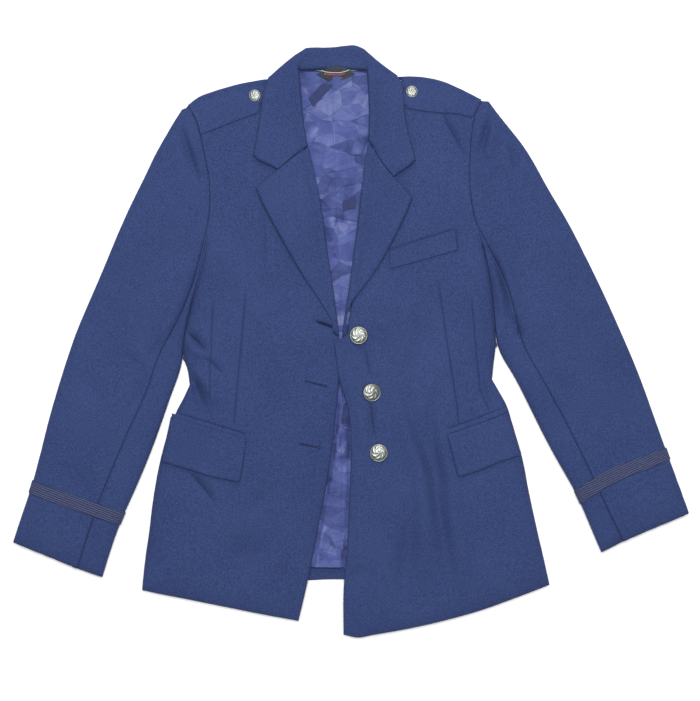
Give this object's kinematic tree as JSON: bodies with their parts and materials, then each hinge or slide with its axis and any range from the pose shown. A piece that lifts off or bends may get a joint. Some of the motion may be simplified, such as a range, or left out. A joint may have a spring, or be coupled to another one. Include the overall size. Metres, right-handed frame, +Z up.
{
  "type": "military dress tunic, laid flat",
  "caption": "Single-breasted dress tunic laid flat on its back, open in front, with lapels, shoulder straps, flap pockets, braided cuffs and domed metal buttons.",
  "frame": {"origin": "middle of the bounding box, on the surface that the tunic lies on", "axes": "+Z up out of the front of the tunic, +Y towards the collar, +X towards the wearer's left sleeve"},
  "size_m": [0.845, 0.7396, 0.0146],
  "materials": {
    "serge": "blue wool serge, matt, with a fine twill and a heathered grain",
    "lining": "blue satin lining with a soft sheen, crumpled",
    "braid": "dark ribbed cuff braid",
    "label": "dark woven label, plain",
    "tape": "dark blue woven tape, bare",
    "button": "worn nickel plate over brass"
  },
  "bodies": {
    "root": {"back_right": "serge", "back_left": "serge", "back_hem": "serge", "back_lining_right": "lining", "back_lining_left": "lining", "front_right": "serge", "front_left": "serge", "pocket_jet_right": "serge", "pocket_jet_left": "serge", "pocket_flap_right": "serge", "pocket_flap_left": "serge", "breast_welt": "serge", "shoulder_strap_right": "serge", "shoulder_strap_left": "serge", "lapel_right": "serge", "lapel_left": "serge", "collar": "serge", "topsleeve_right": "serge", "topsleeve_left": "serge", "undersleeve_right": "serge", "undersleeve_left": "serge", "cuff_braid_right": "braid", "cuff_braid_left": "braid", "neck_label": "label", "tab_upper": "tape", "tab_lower": "tape", "button_front_1": "button", "button_front_2": "button", "button_front_3": "button", "button_shoulder_right": "button", "button_shoulder_left": "button"}
  },
  "joints": []
}
